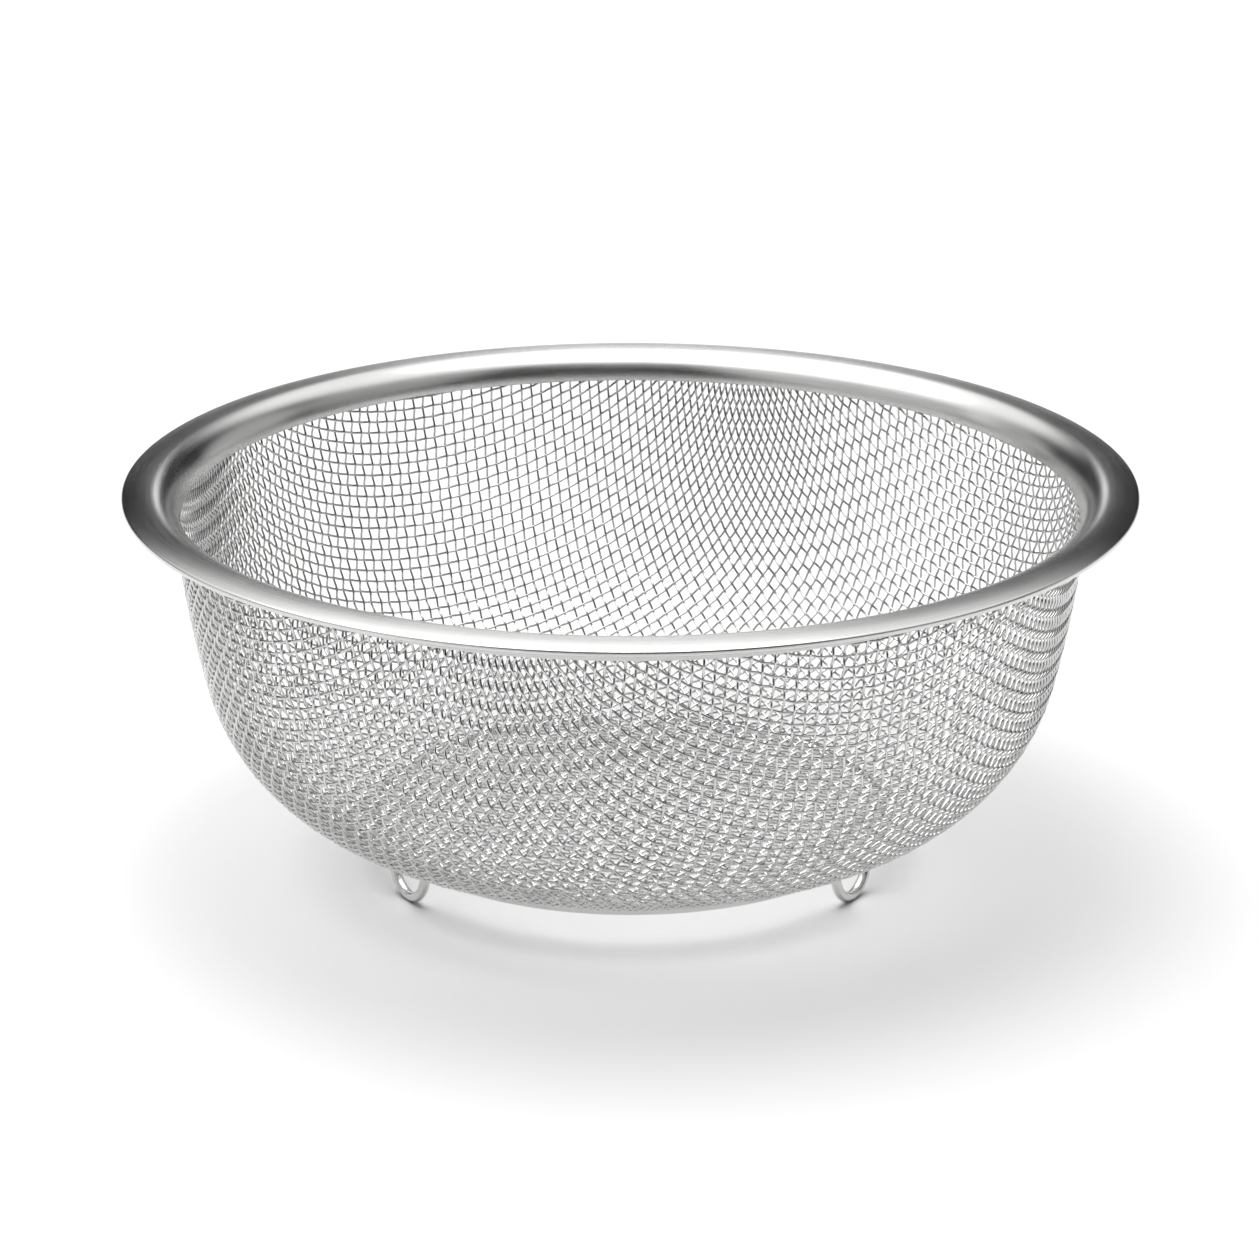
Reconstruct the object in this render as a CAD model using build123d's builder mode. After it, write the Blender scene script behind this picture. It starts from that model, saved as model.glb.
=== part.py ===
from build123d import *

import os
from math import asin, atan2, cos, degrees, hypot, radians, sin, tan

# Kitchen strainer bowl: woven wire cloth held in a flared sheet rim, standing on a bent wire foot.
# Origin on the floor under the middle of the bowl, +Z up. Millimetres.

# Driving dimensions
height = 87.0  # floor to the crest of the rim
rim_radius = 110.0  # middle to the outer edge of the rim
neck_radius = 97.5  # inner face of the rim's straight neck
neck_drop = 6.6  # crest of the rim to the lower edge of its neck
cloth_thickness = 1.12  # two wires of 0.56 where they cross
floor_radius = 49.4  # flat middle of the bowl
floor_height = 9.9  # underside of the flat middle above the floor
foot_wire_diameter = 2.3

# Sheet of the rim and of the ring under it
sheet = 0.4
bend_radius = 6.2  # top face, where the neck turns out into the flange
crest_width = 0.3  # level strip between the bend and the falling crown
crown_radius = 26.0  # top face of the flange, which falls gently to its edge
crown_angle = 12.0
hem_depth = 1.35  # top face to the underside of the folded edge
hem_length = 2.0
fold_radius = 0.3

# Clamp ring
clamp_neck_drop = 6.45
clamp_wrap_angle = 50.0
clamp_fillet = 1.4
clamp_inset = 0.8  # its edge stops this far short of the rim's

# Cloth
corner_radius = 45.2  # outside, between the flat middle and the wall
corner_angle = 77.0
cloth_wrap_angle = 45.0  # how far the cloth follows the rim's bend

# Foot
loop_angles = (-31.5, 90.0, 211.5)  # two loops in front, one behind
loop_half_width = 7.5  # middle of a loop to where the ring turns down into it
loop_bottom_radius = 7.0
loop_top_radius = 2.0
loop_lead = 2.0  # straight run from the ring's arc to the corner
loop_reach = 56.7  # middle of the bowl to the ring and to the loops, which hang straight down

# Worked-out radii and heights shared by the pieces
half_sheet = sheet / 2
bend_middle_radius = neck_radius + bend_radius
bend_middle_height = height - bend_radius
crown_start_radius = bend_middle_radius + crest_width
neck_bottom = height - neck_drop
cloth_inner_neck = neck_radius + sheet
cloth_outer_neck = cloth_inner_neck + cloth_thickness

# Rim: one sheet up the neck, round the bend, over the crown and folded back under its own edge
rim_neck = neck_radius + half_sheet
rim_edge = rim_radius - half_sheet
crown_arc = crown_radius - half_sheet
crown_end_radius = crown_start_radius + crown_arc * sin(radians(crown_angle))
crown_end_height = height - half_sheet - crown_arc * (1 - cos(radians(crown_angle)))
crown_slope = tan(radians(crown_angle))
fold_top = crown_end_height - (rim_edge - crown_end_radius) * crown_slope
fold_bottom = fold_top - (hem_depth - sheet)

with BuildPart() as rim_flange:
    with BuildSketch(Plane.XZ):
        with BuildLine():
            neck = Line((rim_neck, neck_bottom), (rim_neck, bend_middle_height))
            bend = JernArc(neck @ 1, (0, 1), bend_radius - half_sheet, -90)
            crest = Line(bend @ 1, (crown_start_radius, height - half_sheet))
            crown = JernArc(crest @ 1, (1, 0), crown_arc, -crown_angle)
            FilletPolyline(
                crown @ 1,
                (rim_edge, fold_top),
                (rim_edge, fold_bottom),
                (rim_edge - hem_length, fold_bottom + hem_length * crown_slope),
                radius=fold_radius,
            )
        trace(line_width=sheet)
    revolve(axis=Axis.Z)

rim_flange.part.label = "rim_flange"

# Clamp ring: presses the cloth against the neck from outside, then lies under the crown into the hem
clamp_neck = cloth_outer_neck + half_sheet
clamp_bend = bend_middle_radius - clamp_neck
clamp_level = height - sheet - half_sheet
clamp_turn_height = bend_middle_height + clamp_bend * tan(radians(clamp_wrap_angle / 2))
clamp_turn_radius = clamp_neck + (clamp_level - clamp_turn_height) * tan(radians(clamp_wrap_angle))
clamp_arc = crown_radius - sheet - half_sheet
clamp_arc_angle = degrees(asin((rim_radius - clamp_inset - crown_start_radius) / clamp_arc))

with BuildPart() as rim_clamp_ring:
    with BuildSketch(Plane.XZ):
        with BuildLine():
            wrap = FilletPolyline(
                (clamp_neck, height - clamp_neck_drop),
                (clamp_neck, clamp_turn_height),
                (clamp_turn_radius, clamp_level),
                (crown_start_radius, clamp_level),
                radius=(clamp_bend, clamp_fillet),
            )
            JernArc(wrap @ 1, (1, 0), clamp_arc, -clamp_arc_angle)
        trace(line_width=sheet)
    revolve(axis=Axis.Z)

rim_clamp_ring.part.label = "rim_clamp_ring"

# Cloth: one skin as thick as two crossing wires, closed at the bottom and open at the top
floor_top = floor_height + cloth_thickness
corner_inner = corner_radius - cloth_thickness
wrap_inner = bend_middle_radius - cloth_inner_neck
wrap_outer = bend_middle_radius - cloth_outer_neck

with BuildPart() as mesh_bowl:
    with BuildSketch(Plane.XZ):
        with BuildLine():
            floor_under = Line((0, floor_height), (floor_radius, floor_height))
            corner_out = JernArc(floor_under @ 1, (1, 0), corner_radius, corner_angle)
            wall_out = TangentArc(
                corner_out @ 1, (cloth_outer_neck, neck_bottom), tangent=corner_out % 1
            )
            neck_out = Line(wall_out @ 1, (cloth_outer_neck, bend_middle_height))
            wrap_out = JernArc(neck_out @ 1, (0, 1), wrap_outer, -cloth_wrap_angle)
            floor_over = Line((0, floor_top), (floor_radius, floor_top))
            corner_in = JernArc(floor_over @ 1, (1, 0), corner_inner, corner_angle)
            wall_in = TangentArc(
                corner_in @ 1, (cloth_inner_neck, neck_bottom), tangent=corner_in % 1
            )
            neck_in = Line(wall_in @ 1, (cloth_inner_neck, bend_middle_height))
            wrap_in = JernArc(neck_in @ 1, (0, 1), wrap_inner, -cloth_wrap_angle)
            Line(wrap_in @ 1, wrap_out @ 1)
            Line(floor_over @ 0, floor_under @ 0)
        make_face()
    revolve(axis=Axis.Z)

mesh_bowl.part.label = "mesh_bowl"

# Foot: a ring of round wire that touches the bowl's corner from below, bent down into each loop
wire_radius = foot_wire_diameter / 2
corner_to_ring = corner_radius + wire_radius
contact_angle = asin((loop_reach - floor_radius) / corner_to_ring)
ring_height = floor_height + corner_radius - corner_to_ring * cos(contact_angle)

# A loop's leg leaves its corner and touches the bottom bend's circle
loop_depth = ring_height - wire_radius
bend_rise = loop_depth - loop_bottom_radius
leg_angle = atan2(loop_half_width, bend_rise) - asin(
    loop_bottom_radius / hypot(loop_half_width, bend_rise)
)
loop_point_height = ring_height - loop_half_width / tan(leg_angle)
loop_gap_angle = degrees(asin((loop_half_width + loop_lead) / loop_reach))


def ring_point(angle, along=0.0):
    """Place on the ring at an angle, moved along the ring's own direction there."""
    turn = radians(angle)
    return (
        loop_reach * cos(turn) - along * sin(turn),
        loop_reach * sin(turn) + along * cos(turn),
        ring_height,
    )


with BuildPart() as foot_wire:
    with BuildLine() as foot_path:
        for index, angle in enumerate(loop_angles):
            next_angle = loop_angles[(index + 1) % len(loop_angles)]
            arc_start = angle + loop_gap_angle
            arc_size = (next_angle - angle) % 360 - 2 * loop_gap_angle
            CenterArc((0, 0, ring_height), loop_reach, arc_start, arc_size)
            FilletPolyline(
                ring_point(angle - loop_gap_angle),
                ring_point(angle - loop_gap_angle, loop_lead),
                (
                    loop_reach * cos(radians(angle)),
                    loop_reach * sin(radians(angle)),
                    loop_point_height,
                ),
                ring_point(angle + loop_gap_angle, -loop_lead),
                ring_point(angle + loop_gap_angle),
                radius=(loop_top_radius, loop_bottom_radius, loop_top_radius),
            )
    foot_loop = foot_path.wires()[0]
    with BuildSketch(Plane(origin=foot_loop @ 0, z_dir=foot_loop % 0)):
        Circle(wire_radius)
    sweep(path=foot_loop)

foot_wire.part.label = "foot_wire"

os.makedirs("parts", exist_ok=True)
export_step(rim_flange.part, "parts/rim_flange.step")
export_step(rim_clamp_ring.part, "parts/rim_clamp_ring.step")
export_step(mesh_bowl.part, "parts/mesh_bowl.step")
export_step(foot_wire.part, "parts/foot_wire.step")
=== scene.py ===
"""Woven-wire strainer bowl on a pale studio floor. Metres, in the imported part's frame."""

import math

import bpy
import numpy as np
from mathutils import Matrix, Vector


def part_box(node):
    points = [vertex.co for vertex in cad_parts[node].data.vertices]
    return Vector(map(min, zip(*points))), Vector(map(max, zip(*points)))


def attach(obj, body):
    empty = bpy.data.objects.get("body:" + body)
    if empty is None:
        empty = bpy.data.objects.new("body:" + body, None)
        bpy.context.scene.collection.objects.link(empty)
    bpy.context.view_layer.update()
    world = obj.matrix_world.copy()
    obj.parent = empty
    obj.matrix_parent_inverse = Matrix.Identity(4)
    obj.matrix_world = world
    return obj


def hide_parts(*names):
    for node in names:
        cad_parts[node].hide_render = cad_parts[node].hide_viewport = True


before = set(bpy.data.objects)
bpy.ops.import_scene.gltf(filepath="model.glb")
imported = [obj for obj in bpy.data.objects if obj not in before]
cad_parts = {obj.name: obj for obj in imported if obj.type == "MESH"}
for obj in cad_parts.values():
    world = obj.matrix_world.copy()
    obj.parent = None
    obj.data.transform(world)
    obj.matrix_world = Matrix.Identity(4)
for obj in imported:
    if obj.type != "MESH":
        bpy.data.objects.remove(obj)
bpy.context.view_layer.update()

MM = 0.001

# ---------------------------------------------------------------- sizes
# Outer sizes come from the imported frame
rim_low, rim_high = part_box("rim_flange")
cloth_low, _cloth_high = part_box("mesh_bowl")
rim_radius = rim_high.x
crest = rim_high.z
neck_bottom = rim_low.z
floor_under = cloth_low.z

# The sheet rim and the ring under it
sheet = 0.4 * MM
neck_radius = 97.5 * MM
bend_radius = 6.2 * MM
crest_width = 0.3 * MM
crown_radius = 26.0 * MM
crown_angle = math.radians(12.0)
hem_depth = 1.35 * MM
hem_length = 2.0 * MM
fold_radius = 0.3 * MM
clamp_neck_drop = 6.45 * MM
clamp_wrap = math.radians(50.0)
clamp_fillet = 1.4 * MM
clamp_inset = 0.8 * MM
cut_edge_bulge = 0.55  # how far a cut edge stands out, as a share of half the sheet

# Wire cloth
wire_diameter = 0.56 * MM
mesh_pitch = 2.54 * MM
flat_radius = 49.4 * MM
corner_radius = 45.2 * MM
corner_angle = math.radians(77.0)
cloth_wrap = math.radians(45.0)
weave_turn = math.radians(-60.0)  # how far the straight wires through the middle are turned

# Small unevenness of the wires, which ends where the rim grips them
sway_size = 0.03 * MM
sway_pitches = 3
lift_size = 0.02 * MM
lift_pitches = 2
random_seed = 11
grip_length = 8 * MM
grip_fade = 4 * MM

# Foot
foot_wire_diameter = 2.3 * MM
loop_angles = [math.radians(a) for a in (-31.5, 90.0, 211.5)]
loop_half_width = 7.5 * MM
loop_bottom_radius = 7.0 * MM
loop_top_radius = 2.0 * MM
loop_lead = 2.0 * MM
loop_reach = 56.7 * MM

# How finely the shapes are drawn
rim_steps = 720
clamp_steps = 480
neck_steps = 5
bend_steps = 22
crown_steps = 14
cut_edge_steps = 6
fold_step = 0.07 * MM
clamp_step = 0.25 * MM
foot_step = 0.35 * MM
foot_gap = 0.02 * MM  # points closer than this are one
foot_sides = 24
wire_sides = 8
steps_per_pitch = 4
spare_wires = 4  # wires laid out beyond the ones that the cloth's edge needs
groups_per_family = 5  # pieces that each family of wires is shared out to

bend_centre = (neck_radius + bend_radius, crest - bend_radius)
crown_start = bend_centre[0] + crest_width
half_sheet = sheet / 2


# ---------------------------------------------------------------- plane outlines
def arc_points(centre, radius, start, turn, steps):
    """Points along an arc, both ends included."""
    return [
        (
            centre[0] + radius * math.cos(start + turn * k / steps),
            centre[1] + radius * math.sin(start + turn * k / steps),
        )
        for k in range(steps + 1)
    ]


def rounded_path(corners, radii, step, fewest_steps=4):
    """A path through the corners, each inner corner rounded by its radius. Works in 2D and 3D."""
    points = [np.array(corners[0], float)]
    for before, corner, after, radius in zip(corners, corners[1:], corners[2:], radii):
        before, corner, after = (np.array(p, float) for p in (before, corner, after))
        into = (before - corner) / np.linalg.norm(before - corner)
        out = (after - corner) / np.linalg.norm(after - corner)
        half = math.acos(max(-1.0, min(1.0, float(into @ out)))) / 2
        middle = (into + out) / np.linalg.norm(into + out)
        centre = corner + middle * radius / math.sin(half)
        first = corner + into * radius / math.tan(half) - centre
        last = corner + out * radius / math.tan(half) - centre
        sweep = math.pi - 2 * half
        count = max(fewest_steps, math.ceil(radius * sweep / step))
        for k in range(count + 1):
            t = k / count
            a = math.sin((1 - t) * sweep) / math.sin(sweep)
            b = math.sin(t * sweep) / math.sin(sweep)
            points.append(centre + a * first + b * last)
    points.append(np.array(corners[-1], float))
    return points


def merged(points, gap=1e-7):
    """The path without points that repeat the one before."""
    kept = [np.array(points[0], float)]
    for p in points[1:]:
        if np.linalg.norm(np.array(p) - kept[-1]) > gap:
            kept.append(np.array(p, float))
    return np.array(kept)


def cut_edge(point, direction, across, half):
    """Points round the eased cut edge of a sheet, between its two faces."""
    bits = []
    for k in range(1, cut_edge_steps):
        a = math.pi * k / cut_edge_steps
        bulge = half * cut_edge_bulge * (math.sin(a) - 1)
        bits.append(point + across * half * math.cos(a) + direction * bulge)
    return bits


def strip_outline(middle, thickness):
    """Closed outline of a strip of sheet along a middle line, its cut edges eased."""
    middle = merged(middle)
    along = np.gradient(middle, axis=0)
    along /= np.linalg.norm(along, axis=1)[:, None]
    side = np.stack([-along[:, 1], along[:, 0]], 1)
    half = thickness / 2
    left = middle + side * half
    right = middle - side * half
    start_cap = cut_edge(middle[0], -along[0], -side[0], half)
    finish_cap = cut_edge(middle[-1], along[-1], side[-1], half)
    for face in (left, right):
        face[0] += along[0] * half * cut_edge_bulge
        face[-1] -= along[-1] * half * cut_edge_bulge
    return np.array(list(left) + finish_cap + list(right[::-1]) + start_cap)


# ---------------------------------------------------------------- meshes
def mesh_object(name, points, quads, caps=()):
    """A smooth-shaded mesh object from points, four-sided faces and any end caps."""
    mesh = bpy.data.meshes.new(name)
    quads = np.asarray(quads, np.int32)
    loops = [quads.reshape(-1)]
    sizes = [np.full(len(quads), 4, np.int32)]
    for cap in caps:
        loops.append(np.asarray(cap, np.int32))
        sizes.append(np.array([len(cap)], np.int32))
    loops = np.concatenate(loops)
    sizes = np.concatenate(sizes)
    starts = np.concatenate([[0], np.cumsum(sizes)[:-1]]).astype(np.int32)
    mesh.vertices.add(len(points))
    mesh.vertices.foreach_set("co", np.asarray(points, np.float32).reshape(-1))
    mesh.loops.add(len(loops))
    mesh.loops.foreach_set("vertex_index", loops)
    mesh.polygons.add(len(sizes))
    mesh.polygons.foreach_set("loop_start", starts)
    mesh.polygons.foreach_set("loop_total", sizes)
    mesh.polygons.foreach_set("use_smooth", np.ones(len(sizes), bool))
    mesh.update(calc_edges=True)
    mesh.validate()
    made = bpy.data.objects.new(name, mesh)
    bpy.context.scene.collection.objects.link(made)
    return made


def revolved(name, outline, steps):
    """A closed (radius, height) outline turned once round the Z axis."""
    turn = np.arange(steps) * 2 * math.pi / steps
    count = len(outline)
    ring = np.stack(
        [
            outline[None, :, 0] * np.cos(turn)[:, None],
            outline[None, :, 0] * np.sin(turn)[:, None],
            np.repeat(outline[None, :, 1], steps, 0),
        ],
        -1,
    )
    a = np.arange(steps)[:, None] * count
    b = (np.arange(steps)[:, None] + 1) % steps * count
    i = np.arange(count)[None, :]
    j = (i + 1) % count
    radius, height = outline.T
    area = 0.5 * np.sum(radius * np.roll(height, -1) - np.roll(radius, -1) * height)
    order = (a + i, a + j, b + j, b + i) if area > 0 else (a + i, b + i, b + j, a + j)
    quads = np.stack(np.broadcast_arrays(*order), -1).reshape(-1, 4)
    return mesh_object(name, ring.reshape(-1, 3), quads)


def tube(centres, across, radius, sides, closed=False, first=0):
    """Points and faces of a round tube. across is a direction beside the line at each centre."""
    if closed:
        along = np.roll(centres, -1, 0) - np.roll(centres, 1, 0)
    else:
        along = np.gradient(centres, axis=0)
    along /= np.linalg.norm(along, axis=1)[:, None]
    side = np.cross(along, across)
    side /= np.linalg.norm(side, axis=1)[:, None]
    up = np.cross(side, along)
    turn = np.arange(sides) * 2 * math.pi / sides
    cos_turn = np.cos(turn)[None, :, None]
    sin_turn = np.sin(turn)[None, :, None]
    points = centres[:, None, :] + radius * (up[:, None, :] * cos_turn + side[:, None, :] * sin_turn)
    count = len(centres)
    last = count if closed else count - 1
    a = np.arange(last)[:, None] * sides
    b = (np.arange(last)[:, None] + 1) % count * sides
    i = np.arange(sides)[None, :]
    j = (i + 1) % sides
    quads = np.stack(np.broadcast_arrays(a + i, a + j, b + j, b + i), -1).reshape(-1, 4) + first
    caps = []
    if not closed:
        caps.append(first + np.arange(sides)[::-1])
        caps.append(first + (count - 1) * sides + np.arange(sides))
    return points.reshape(-1, 3), quads, caps


def joined_tubes(name, wires, radius, sides):
    """One mesh object of several tubes."""
    points, quads, caps = [], [], []
    first = 0
    for path, out in wires:
        tube_points, tube_quads, tube_caps = tube(path, out, radius, sides, first=first)
        points.append(tube_points)
        quads.append(tube_quads)
        caps += tube_caps
        first += len(tube_points)
    return mesh_object(name, np.vstack(points), np.vstack(quads), caps)


# ---------------------------------------------------------------- rim
def rim_middle_line():
    """Middle line of the rim's sheet: neck, bend, crest, crown, folded hem."""
    line_radius = neck_radius + half_sheet
    bend = bend_radius - half_sheet
    crown = crown_radius - half_sheet
    top = crest - half_sheet
    slope = math.tan(crown_angle)
    crown_end = (
        crown_start + crown * math.sin(crown_angle),
        top - crown * (1 - math.cos(crown_angle)),
    )
    edge = rim_radius - half_sheet
    fold_top = crown_end[1] - (edge - crown_end[0]) * slope
    fold_low = fold_top - (hem_depth - sheet)
    neck_height = bend_centre[1] - neck_bottom
    points = [(line_radius, neck_bottom + k / neck_steps * neck_height) for k in range(neck_steps)]
    points += arc_points(bend_centre, bend, math.pi, -math.pi / 2, bend_steps)
    points += arc_points((crown_start, top - crown), crown, math.pi / 2, -crown_angle, crown_steps)
    points += rounded_path(
        [
            crown_end,
            (edge, fold_top),
            (edge, fold_low),
            (edge - hem_length, fold_low + hem_length * slope),
        ],
        [fold_radius, fold_radius],
        fold_step,
    )
    return points


def clamp_middle_line():
    """Middle line of the ring that holds the cloth: outside the neck, then under the crown."""
    line_radius = neck_radius + sheet + 2 * wire_diameter + half_sheet
    bend = bend_centre[0] - line_radius
    level = crest - sheet - half_sheet
    turn_height = bend_centre[1] + bend * math.tan(clamp_wrap / 2)
    turn_radius = line_radius + (level - turn_height) * math.tan(clamp_wrap)
    arc = crown_radius - sheet - half_sheet
    arc_turn = math.asin((rim_radius - clamp_inset - crown_start) / arc)
    points = rounded_path(
        [
            (line_radius, crest - clamp_neck_drop),
            (line_radius, turn_height),
            (turn_radius, level),
            (crown_start, level),
        ],
        [bend, clamp_fillet],
        clamp_step,
    )
    points += arc_points((crown_start, level - arc), arc, math.pi / 2, -arc_turn, crown_steps)
    return points


# ---------------------------------------------------------------- wire cloth
class Profile:
    """The cloth's middle surface, as radius, height and slope against the length from the pole."""

    step = 0.05 * MM
    overrun = 40 * MM  # how far the surface runs on past the cloth's edge
    corner_steps = 400
    wall_steps = 200
    wrap_steps = 60
    slope_blur = 9

    def __init__(self):
        floor_level = floor_under + wire_diameter
        corner = corner_radius - wire_diameter
        neck = neck_radius + sheet + wire_diameter
        corner_centre = (flat_radius, floor_level + corner)
        turned = arc_points(corner_centre, corner, -math.pi / 2, corner_angle, self.corner_steps)
        wall = self.wall_arc(np.array(turned[-1]), np.array([neck, neck_bottom]))
        wrap_radius = bend_centre[0] - neck
        parts = [
            [(0.0, floor_level), (flat_radius, floor_level)],
            turned,
            wall,
            [(neck, neck_bottom), (neck, bend_centre[1])],
            arc_points(bend_centre, wrap_radius, math.pi, -cloth_wrap, self.wrap_steps),
        ]
        line = merged([p for part in parts for p in part])
        away = line[-1] - line[-2]
        line = np.vstack([line, line[-1] + away / np.linalg.norm(away) * self.overrun])
        lengths = np.concatenate([[0], np.cumsum(np.linalg.norm(np.diff(line, axis=0), axis=1))])
        self.edge = lengths[-2]
        self.s = np.arange(0, lengths[-1], self.step)
        self.r = np.interp(self.s, lengths, line[:, 0])
        self.z = np.interp(self.s, lengths, line[:, 1])
        slope = np.unwrap(np.arctan2(np.gradient(self.z), np.gradient(self.r)))
        blur = np.ones(self.slope_blur) / self.slope_blur
        self.slope = np.convolve(np.pad(slope, self.slope_blur // 2, mode="edge"), blur, "valid")

    def wall_arc(self, start, end):
        """The wall's arc, which leaves the corner at the corner's own slope."""
        tangent = np.array([math.cos(corner_angle), math.sin(corner_angle)])
        chord = end - start
        lean = math.atan2(chord[1], chord[0]) - math.atan2(tangent[1], tangent[0])
        radius = np.linalg.norm(chord) / (2 * math.sin(lean))
        centre = start + radius * np.array([-tangent[1], tangent[0]])
        return arc_points(centre, radius, corner_angle - math.pi / 2, 2 * lean, self.wall_steps)

    def at(self, s, turn):
        """Place, outward normal, and the two directions on the surface."""
        r = np.interp(s, self.s, self.r)
        z = np.interp(s, self.s, self.z)
        slope = np.interp(s, self.s, self.slope)
        c, d = np.cos(turn), np.sin(turn)
        place = np.stack([r * c, r * d, z], -1)
        along = np.stack([np.cos(slope) * c, np.cos(slope) * d, np.sin(slope)], -1)
        normal = np.stack([np.sin(slope) * c, np.sin(slope) * d, -np.cos(slope)], -1)
        round_ = np.stack([-r * d, r * c, 0 * r], -1)
        return place, normal, along, round_

    def nearest(self, points):
        """Length from the pole and angle of the surface points nearest to these."""
        r = np.hypot(points[:, 0], points[:, 1])
        gap = (r[:, None] - self.r[None]) ** 2 + (points[:, 2][:, None] - self.z[None]) ** 2
        return self.s[gap.argmin(1)], np.arctan2(points[:, 1], points[:, 0])


def one_pitch_from_both(profile, a, b, corner, pitch, rounds=25, turn_limit=0.1):
    """Surface points one pitch from a and from b, on the side away from corner."""
    u, v = profile.nearest(a + b - corner)
    for _ in range(rounds):
        place, _normal, along, round_ = profile.at(u, v)
        fa, fb = place - a, place - b
        ea = (fa * fa).sum(1) - pitch**2
        eb = (fb * fb).sum(1) - pitch**2
        m00, m01 = 2 * (fa * along).sum(1), 2 * (fa * round_).sum(1)
        m10, m11 = 2 * (fb * along).sum(1), 2 * (fb * round_).sum(1)
        det = m00 * m11 - m01 * m10
        du = (ea * m11 - eb * m01) / det
        dv = (eb * m00 - ea * m10) / det
        u = u - np.clip(du, -pitch / 2, pitch / 2)
        v = v - np.clip(dv, -turn_limit, turn_limit)
    return u, v


def quarter_net(profile, pitch, count, spare_pitches=3):
    """Crossings of the two wire families in the quarter between two straight wires through the pole.

    Every crossing is one pitch from its two neighbours, so a square weave shears to fit the bowl.
    """
    s = np.full((count, count), np.nan)
    turn = np.full((count, count), np.nan)
    steps = np.arange(count) * pitch
    s[:, 0], turn[:, 0] = steps, 0.0
    s[0, :], turn[0, :] = steps, math.pi / 2
    turn[0, 0] = 0.0
    limit = profile.edge + spare_pitches * pitch
    for diagonal in range(2, 2 * count - 1):
        i = np.arange(max(1, diagonal - count + 1), min(count, diagonal))
        j = diagonal - i
        inside = (s[i - 1, j] < limit) & (s[i, j - 1] < limit)
        i, j = i[inside], j[inside]
        if not len(i):
            break
        a = profile.at(s[i - 1, j], turn[i - 1, j])[0]
        b = profile.at(s[i, j - 1], turn[i, j - 1])[0]
        corner = profile.at(s[i - 1, j - 1], turn[i - 1, j - 1])[0]
        s[i, j], turn[i, j] = one_pitch_from_both(profile, a, b, corner, pitch)
    return s, turn


def whole_net(profile, pitch, count):
    """Crossing (i, j) of warp wire j and weft wire i, both from -count+1 to count-1."""
    s, turn = quarter_net(profile, pitch, count)
    size = 2 * count - 1
    middle = count - 1
    full_s = np.full((size, size), np.nan)
    full_turn = np.full((size, size), np.nan)
    for quarter in range(4):
        for i in range(count):
            for j in range(count):
                u, v = (i, j) if quarter % 2 == 0 else (-j, i)
                if quarter >= 2:
                    u, v = -u, -v
                full_s[middle + u, middle + v] = s[i, j]
                full_turn[middle + u, middle + v] = turn[i, j] + quarter * math.pi / 2 + weave_turn
    return full_s, full_turn


def smooth_noise(random, count, reach):
    """Smooth random values, about +-1, whose bumps are about reach entries long."""
    raw = random.standard_normal(count + 6 * reach)
    window = np.exp(-0.5 * (np.arange(-3 * reach, 3 * reach + 1) / reach) ** 2)
    soft = np.convolve(raw, window / np.sqrt((window**2).sum()), "valid")
    return soft[:count]


def cubic(values, per_step):
    """Values put evenly between rows of an array by a smooth curve through the rows."""
    count = len(values)
    t = np.arange((count - 1) * per_step + 1) / per_step
    k = np.minimum(t.astype(int), count - 2)
    f = (t - k)[:, None]
    p0 = values[np.maximum(k - 1, 0)]
    p1, p2 = values[k], values[k + 1]
    p3 = values[np.minimum(k + 2, count - 1)]
    p0 = np.where((k == 0)[:, None], 2 * p1 - p2, p0)
    p3 = np.where((k == count - 2)[:, None], 2 * p2 - p1, p3)
    linear = (p2 - p0) * f
    square = (2 * p0 - 5 * p1 + 4 * p2 - p3) * f**2
    cube = (3 * p1 - p0 - 3 * p2 + p3) * f**3
    return 0.5 * (2 * p1 + linear + square + cube), t


def crossings_in_use(s, edge, spare=2, fewest_known=4, fewest_inside=3):
    """Numbers of a wire's crossings inside the cloth's edge and a few beyond, or none."""
    known = np.flatnonzero(np.isfinite(s))
    if len(known) < fewest_known:
        return None
    lo, hi = known[0], known[-1]
    inside = np.flatnonzero(s[lo : hi + 1] < edge)
    if len(inside) < fewest_inside:
        return None
    first = lo + max(inside[0] - spare, 0)
    last = lo + min(inside[-1] + spare, hi - lo)
    return np.arange(first, last + 1)


def cloth_wires(profile, net_s, net_turn, family, per_pitch=steps_per_pitch, fewest_points=6):
    """Middle line and outward direction of each wire of one family, woven over and under."""
    random = np.random.default_rng(random_seed + family)
    crimp = wire_diameter / 2
    sign = -1.0 if family else 1.0
    wires = []
    for k in range(net_s.shape[0]):
        s, turn = (net_s[:, k], net_turn[:, k]) if family == 0 else (net_s[k], net_turn[k])
        index = crossings_in_use(s, profile.edge)
        if index is None:
            continue
        place, normal, _along, _round = profile.at(s[index], turn[index])
        path, t = cubic(place, per_pitch)
        out, _t = cubic(normal, per_pitch)
        length = cubic(s[index][:, None], per_pitch)[0][:, 0]
        out /= np.linalg.norm(out, axis=1)[:, None]
        wave = sign * np.cos(math.pi * (t + index[0] + k))
        along = np.gradient(path, axis=0)
        along /= np.linalg.norm(along, axis=1)[:, None]
        side = np.cross(along, out)
        sway = smooth_noise(random, len(path), sway_pitches * per_pitch) * sway_size
        lift = smooth_noise(random, len(path), lift_pitches * per_pitch) * lift_size
        free = np.clip((profile.edge - grip_length - length) / grip_fade, 0, 1)
        path = path + out * (crimp * wave + lift * free)[:, None] + side * sway[:, None]
        inside = length < profile.edge
        if inside.sum() >= fewest_points:
            wires.append((path[inside], out[inside]))
    return wires


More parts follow.
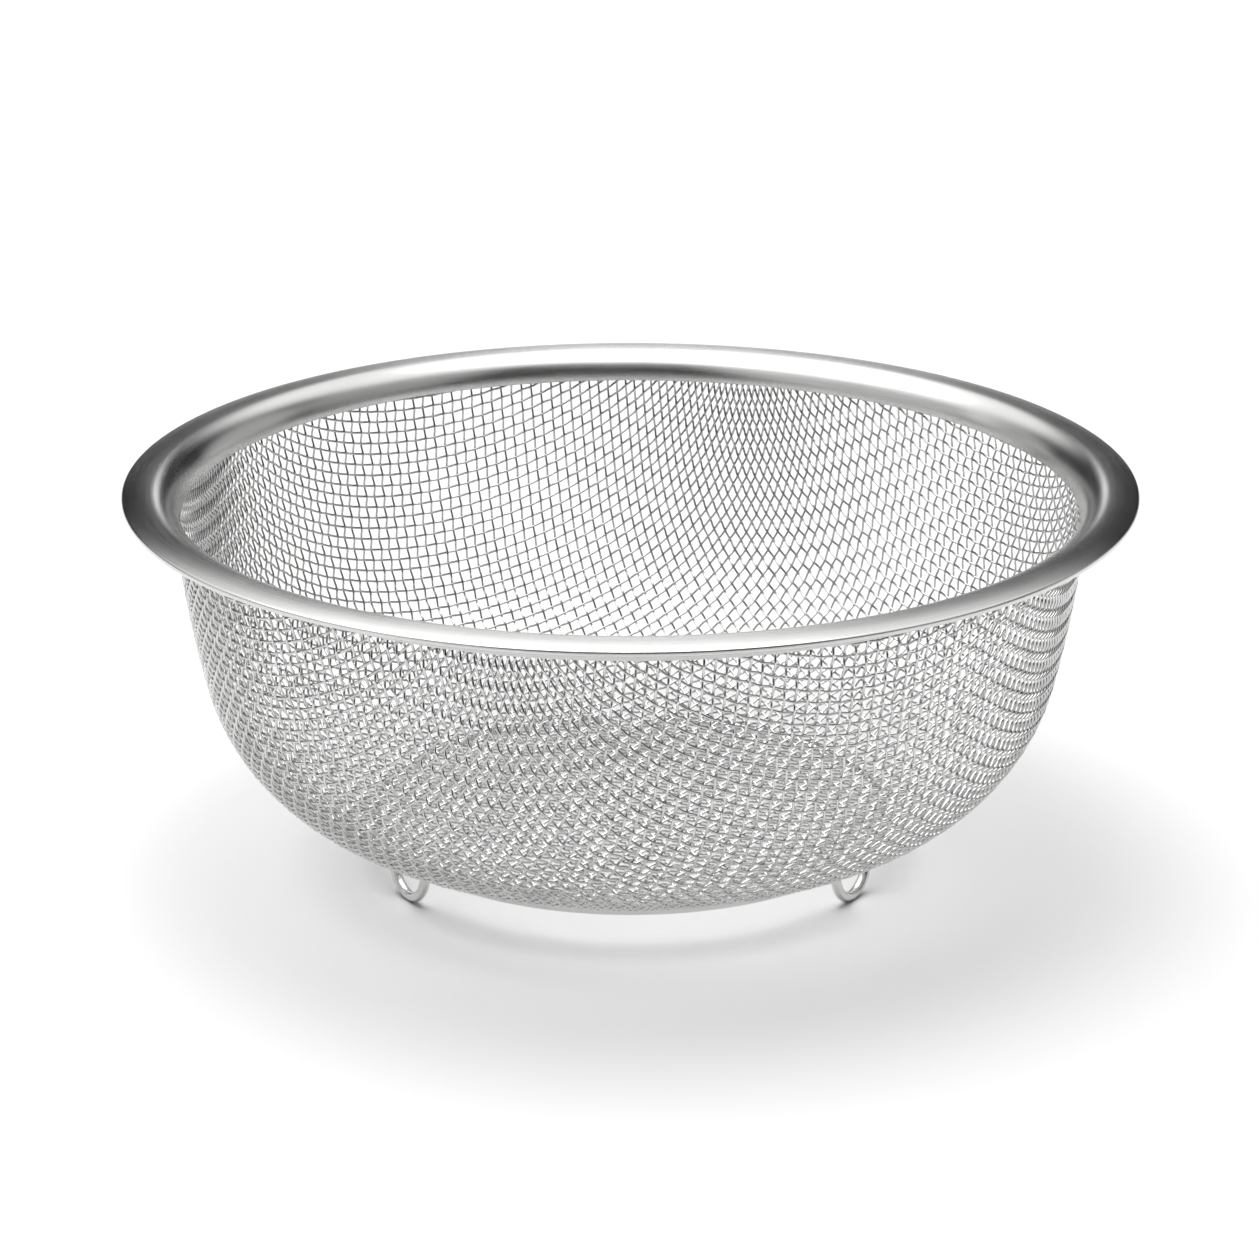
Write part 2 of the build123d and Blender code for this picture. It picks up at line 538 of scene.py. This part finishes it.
# ---------------------------------------------------------------- foot
def foot_path():
    """Middle line of the foot's wire: ring arcs between three loops that reach the floor."""
    wire = foot_wire_diameter / 2
    lean = math.asin((loop_reach - flat_radius) / (corner_radius + wire))
    ring_height = floor_under + corner_radius - (corner_radius + wire) * math.cos(lean)
    rise = ring_height - wire - loop_bottom_radius
    leg = math.atan2(loop_half_width, rise) - math.asin(
        loop_bottom_radius / math.hypot(loop_half_width, rise)
    )
    point_height = ring_height - loop_half_width / math.tan(leg)
    gap = math.asin((loop_half_width + loop_lead) / loop_reach)

    def on_ring(angle, shift=0.0):
        return (
            loop_reach * math.cos(angle) - shift * math.sin(angle),
            loop_reach * math.sin(angle) + shift * math.cos(angle),
            ring_height,
        )

    points = []
    for k, angle in enumerate(loop_angles):
        tip = (loop_reach * math.cos(angle), loop_reach * math.sin(angle), point_height)
        points += rounded_path(
            [
                on_ring(angle - gap),
                on_ring(angle - gap, loop_lead),
                tip,
                on_ring(angle + gap, -loop_lead),
                on_ring(angle + gap),
            ],
            [loop_top_radius, loop_bottom_radius, loop_top_radius],
            foot_step,
        )
        following = loop_angles[(k + 1) % len(loop_angles)]
        sweep = (following - angle) % (2 * math.pi) - 2 * gap
        count = math.ceil(loop_reach * sweep / (2 * foot_step))
        points += [np.array(on_ring(angle + gap + sweep * m / count)) for m in range(1, count)]
    return merged(points, foot_gap)


# ---------------------------------------------------------------- shader nodes
noise_low, noise_high = 0.3, 0.7  # the range that noise mostly stays in


def new_material(name):
    """A material, its node tree and its shader."""
    material = bpy.data.materials.new(name)
    material.use_nodes = True
    tree = material.node_tree
    return material, tree, tree.nodes["Principled BSDF"]


def add(tree, kind, **values):
    """A new node with some of its settings."""
    node = tree.nodes.new(kind)
    for key, value in values.items():
        setattr(node, key, value)
    return node


def math_node(tree, operation, a, b=None):
    """Output of a maths node on one or two values, each a number or another node's output."""
    node = add(tree, "ShaderNodeMath", operation=operation)
    for socket, value in zip(node.inputs, (a, b)):
        if value is None:
            continue
        if isinstance(value, (int, float)):
            socket.default_value = value
        else:
            tree.links.new(value, socket)
    return node.outputs[0]


def times(tree, a, b):
    """Two values multiplied."""
    return math_node(tree, "MULTIPLY", a, b)


def plus(tree, a, b):
    """Two values added."""
    return math_node(tree, "ADD", a, b)


def mapped(tree, value, low, high, new_low, new_high, smooth=False):
    """A value moved from one range to another, straight or with soft ends."""
    node = add(tree, "ShaderNodeMapRange")
    if smooth:
        node.interpolation_type = "SMOOTHSTEP"
    tree.links.new(value, node.inputs["Value"])
    for key, number in (
        ("From Min", low),
        ("From Max", high),
        ("To Min", new_low),
        ("To Max", new_high),
    ):
        node.inputs[key].default_value = number
    return node.outputs["Result"]


def spread(tree, value, new_low, new_high):
    """Noise spread over a new range."""
    return mapped(tree, value, noise_low, noise_high, new_low, new_high)


def tinted(tree, value, tints):
    """A colour between a dark and a light one, by a value from 0 to 1."""
    ramp = add(tree, "ShaderNodeValToRGB")
    for element, tint in zip(ramp.color_ramp.elements, tints):
        element.color = (*tint, 1)
    tree.links.new(value, ramp.inputs["Fac"])
    return ramp.outputs["Color"]


def noise(tree, vector, scale, detail=2.0, roughness=0.5):
    """Value of a noise texture."""
    node = add(tree, "ShaderNodeTexNoise")
    tree.links.new(vector, node.inputs["Vector"])
    node.inputs["Scale"].default_value = scale
    node.inputs["Detail"].default_value = detail
    node.inputs["Roughness"].default_value = roughness
    return node.outputs["Fac"]


def bump(tree, height, strength, distance, shader):
    """Fine relief on a shader's surface."""
    node = add(tree, "ShaderNodeBump")
    node.inputs["Strength"].default_value = strength
    node.inputs["Distance"].default_value = distance
    tree.links.new(height, node.inputs["Height"])
    tree.links.new(node.outputs["Normal"], shader.inputs["Normal"])


def object_place(tree):
    """Coordinates fixed to the object."""
    return add(tree, "ShaderNodeTexCoord").outputs["Object"]


def turned_coordinates(tree, around, across):
    """Noise coordinates that run long round the Z axis and short across it."""
    split = add(tree, "ShaderNodeSeparateXYZ")
    tree.links.new(object_place(tree), split.inputs[0])
    x, y, z = split.outputs
    radius = math_node(tree, "SQRT", plus(tree, times(tree, x, x), times(tree, y, y)))
    joined = add(tree, "ShaderNodeCombineXYZ")
    for value, socket in zip(
        (
            times(tree, math_node(tree, "DIVIDE", x, radius), around),
            times(tree, math_node(tree, "DIVIDE", y, radius), around),
            times(tree, math_node(tree, "SUBTRACT", radius, z), across),
        ),
        joined.inputs,
    ):
        tree.links.new(value, socket)
    return joined.outputs[0]


# ---------------------------------------------------------------- materials
# Dark and light tints of each metal
sheet_tints = ((0.62, 0.618, 0.612), (0.68, 0.678, 0.67))
cloth_tints = ((0.53, 0.53, 0.525), (0.64, 0.64, 0.635))
foot_tints = ((0.62, 0.62, 0.615), (0.72, 0.72, 0.715))
floor_grey = 0.86
floor_roughness = 0.9


def brushed_sheet(name, roughness, anisotropy):
    """Satin steel sheet brushed round the axis."""
    streak_share = 0.6  # of the tint, the rest comes from wider bands
    roughness_change = 0.02
    streak_relief = 0.05
    streak_depth = 0.02 * MM
    material, tree, shader = new_material(name)
    fine = turned_coordinates(tree, around=5.0, across=4500.0)
    coarse = turned_coordinates(tree, around=2.0, across=900.0)
    streaks = noise(tree, fine, scale=1.0, detail=3.0, roughness=0.6)
    bands = noise(tree, coarse, scale=1.0)
    cloudy = noise(tree, object_place(tree), scale=35.0, detail=3.0)
    mix = plus(tree, times(tree, streaks, streak_share), times(tree, bands, 1 - streak_share))
    colour = tinted(tree, spread(tree, mix, 0, 1), sheet_tints)
    rough = plus(
        tree,
        spread(tree, streaks, roughness - roughness_change, roughness + roughness_change),
        spread(tree, cloudy, -roughness_change, roughness_change),
    )
    tangent = add(tree, "ShaderNodeTangent", direction_type="RADIAL", axis="Z")
    tree.links.new(colour, shader.inputs["Base Color"])
    tree.links.new(rough, shader.inputs["Roughness"])
    tree.links.new(tangent.outputs[0], shader.inputs["Tangent"])
    shader.inputs["Metallic"].default_value = 1.0
    shader.inputs["Anisotropic"].default_value = anisotropy
    shader.inputs["Anisotropic Rotation"].default_value = 0.25
    bump(tree, streaks, streak_relief, streak_depth, shader)
    return material


def drawn_wire(name, tints, roughness, patch_scale, relief):
    """Drawn steel wire with faint die marks and dull patches."""
    grain_ratio = 12  # grains to a patch
    roughness_share = 0.3  # by which the grain changes the roughness
    grain_depth = 0.01 * MM
    material, tree, shader = new_material(name)
    place = object_place(tree)
    patches = noise(tree, place, patch_scale, detail=3.0)
    grain = noise(tree, place, patch_scale * grain_ratio, roughness=0.6)
    colour = tinted(tree, spread(tree, patches, 0, 1), tints)
    rough = spread(
        tree, grain, roughness * (1 - roughness_share), roughness * (1 + roughness_share)
    )
    tree.links.new(colour, shader.inputs["Base Color"])
    tree.links.new(rough, shader.inputs["Roughness"])
    shader.inputs["Metallic"].default_value = 1.0
    bump(tree, grain, relief, grain_depth, shader)
    return material


def plain_floor():
    """Matt pale floor."""
    material, _tree, shader = new_material("studio_floor")
    shader.inputs["Base Color"].default_value = (floor_grey, floor_grey, floor_grey, 1)
    shader.inputs["Roughness"].default_value = floor_roughness
    shader.inputs["Specular IOR Level"].default_value = 0.0
    return material


# ---------------------------------------------------------------- build the pieces
def place_piece(piece, node, material):
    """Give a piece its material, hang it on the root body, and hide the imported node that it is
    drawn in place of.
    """
    piece.data.materials.clear()
    piece.data.materials.append(material)
    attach(piece, "root")
    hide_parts(node)


def build_rim():
    """The flared rim and the ring that holds the cloth against it."""
    rim = revolved("rim_sheet", strip_outline(rim_middle_line(), sheet), rim_steps)
    rim_steel = brushed_sheet("rim_steel", roughness=0.24, anisotropy=0.85)
    place_piece(rim, "rim_flange", rim_steel)
    clamp = revolved("rim_clamp", strip_outline(clamp_middle_line(), sheet), clamp_steps)
    clamp_steel = brushed_sheet("clamp_steel", roughness=0.36, anisotropy=0.5)
    place_piece(clamp, "rim_clamp_ring", clamp_steel)


def build_cloth():
    """Every wire of the cloth, shared out to a few pieces for each of the two families."""
    profile = Profile()
    wire_count = int(profile.edge / mesh_pitch) + spare_wires
    net_s, net_turn = whole_net(profile, mesh_pitch, wire_count)
    steel = drawn_wire("cloth_steel", cloth_tints, roughness=0.03, patch_scale=160.0, relief=0.02)
    for family, family_name in enumerate(("warp", "weft")):
        wires = cloth_wires(profile, net_s, net_turn, family)
        share = math.ceil(len(wires) / groups_per_family)
        for g in range(groups_per_family):
            group = wires[g * share : (g + 1) * share]
            name = f"cloth_{family_name}_{g + 1}"
            part = joined_tubes(name, group, wire_diameter / 2, wire_sides)
            place_piece(part, "mesh_bowl", steel)


def build_foot():
    """The bent wire that the bowl stands on."""
    line = foot_path()
    outward = line * np.array([1, 1, 0])
    outward /= np.linalg.norm(outward, axis=1)[:, None]
    points, quads, _caps = tube(line, outward, foot_wire_diameter / 2, foot_sides, closed=True)
    foot = mesh_object("foot_ring", points, quads)
    steel = drawn_wire("foot_steel", foot_tints, roughness=0.14, patch_scale=90.0, relief=0.1)
    place_piece(foot, "foot_wire", steel)


build_rim()
build_cloth()
build_foot()

# ---------------------------------------------------------------- studio floor
floor_side = 1.0
floor_front = -0.45
floor_back = 2.2
floor_level = -0.03 * MM
floor = mesh_object(
    "studio_floor",
    [
        (-floor_side, floor_front, floor_level),
        (floor_side, floor_front, floor_level),
        (floor_side, floor_back, floor_level),
        (-floor_side, floor_back, floor_level),
    ],
    [(0, 1, 2, 3)],
)
floor.data.materials.append(plain_floor())

# ---------------------------------------------------------------- light
# Large soft source from above, which also casts the pale shadow
key_spread = math.radians(62)
key_strength = 2.4
key_tilt = (math.radians(-8), math.radians(-10), 0)
key = bpy.data.lights.new("key_softbox", "SUN")
key.angle = key_spread
key.energy = key_strength
key_object = bpy.data.objects.new("key_softbox", key)
bpy.context.scene.collection.objects.link(key_object)
key_object.rotation_euler = key_tilt

# Soft round patches of the surroundings: azimuth, elevation, outer angle, inner angle, strength.
# Azimuth 0 is behind the object (+Y) and 90 is to its left (-X).
ceiling = (20, 74, 54, 38, 1.3)
mirrored_patches = (
    (110, 30, 48, 28, 0.58),  # pale wall on the left
    (-105, 34, 34, 16, 0.38),  # weaker one on the right
    (-60, 14, 24, 13, 0.5),  # low, behind to the right
    (62, 13, 22, 12, 0.45),  # low, behind to the left
    (0, 17, 4, 2.5, 2.0),  # small bright panel straight behind
)
sweep_strength = 0.5  # low band behind, where the paper sweeps up
sweep_top = (0.06, 0.13)  # sine of the elevation, full light and none
sweep_side = (0.3, 0.7)  # share of the direction that points behind, none and full light
faint_glow = 0.01

world = bpy.data.worlds.new("studio")
bpy.context.scene.world = world
world.use_nodes = True
sky = world.node_tree
direction = add(sky, "ShaderNodeTexCoord").outputs["Generated"]


def toward(azimuth, elevation):
    """Unit vector of a direction."""
    a, e = math.radians(azimuth), math.radians(elevation)
    return (-math.sin(a) * math.cos(e), math.cos(a) * math.cos(e), math.sin(e))


def patch_light(azimuth, elevation, outer, inner, strength):
    """A soft-edged round patch of light, full inside the inner angle and gone at the outer."""
    node = add(sky, "ShaderNodeVectorMath", operation="DOT_PRODUCT")
    sky.links.new(direction, node.inputs[0])
    node.inputs[1].default_value = toward(azimuth, elevation)
    outer_cosine = math.cos(math.radians(outer))
    inner_cosine = math.cos(math.radians(inner))
    return mapped(sky, node.outputs["Value"], outer_cosine, inner_cosine, 0, strength, smooth=True)


overhead = patch_light(*ceiling)
heading = add(sky, "ShaderNodeSeparateXYZ")
sky.links.new(direction, heading.inputs[0])
low = mapped(sky, heading.outputs["Z"], *sweep_top, sweep_strength, 0, smooth=True)
behind = mapped(sky, heading.outputs["Y"], *sweep_side, 0, 1, smooth=True)
mirrored = times(sky, low, behind)
for patch in mirrored_patches:
    mirrored = plus(sky, mirrored, patch_light(*patch))

# Only mirror reflections see the sides; the camera sees plain white
light_path = add(sky, "ShaderNodeLightPath")
mirrored = times(sky, mirrored, light_path.outputs["Is Glossy Ray"])
glow = plus(sky, plus(sky, overhead, mirrored), faint_glow)
glow_colour = add(sky, "ShaderNodeCombineXYZ")
for socket in glow_colour.inputs:
    sky.links.new(glow, socket)
background = sky.nodes["Background"]
sky.links.new(glow_colour.outputs[0], background.inputs["Color"])
seen = add(sky, "ShaderNodeBackground")
seen.inputs["Color"].default_value = (1, 1, 1, 1)
choose = add(sky, "ShaderNodeMixShader")
sky.links.new(light_path.outputs["Is Camera Ray"], choose.inputs["Fac"])
sky.links.new(background.outputs[0], choose.inputs[1])
sky.links.new(seen.outputs[0], choose.inputs[2])
sky.links.new(choose.outputs[0], sky.nodes["World Output"].inputs["Surface"])

# ---------------------------------------------------------------- camera
camera_place = (-0.1 * MM, -877.1 * MM, 363.8 * MM)
camera_fall = math.radians(19.587)  # how far it looks down
camera_lens = 120.9
camera_sensor = 36.0
scene = bpy.context.scene
scene.view_settings.view_transform = "Standard"
camera_data = bpy.data.cameras.new("camera")
camera = bpy.data.objects.new("camera", camera_data)
scene.collection.objects.link(camera)
camera_data.sensor_width = camera_sensor
camera_data.lens = camera_lens
camera.location = camera_place
camera.rotation_euler = (math.pi / 2 - camera_fall, 0, 0)
scene.camera = camera
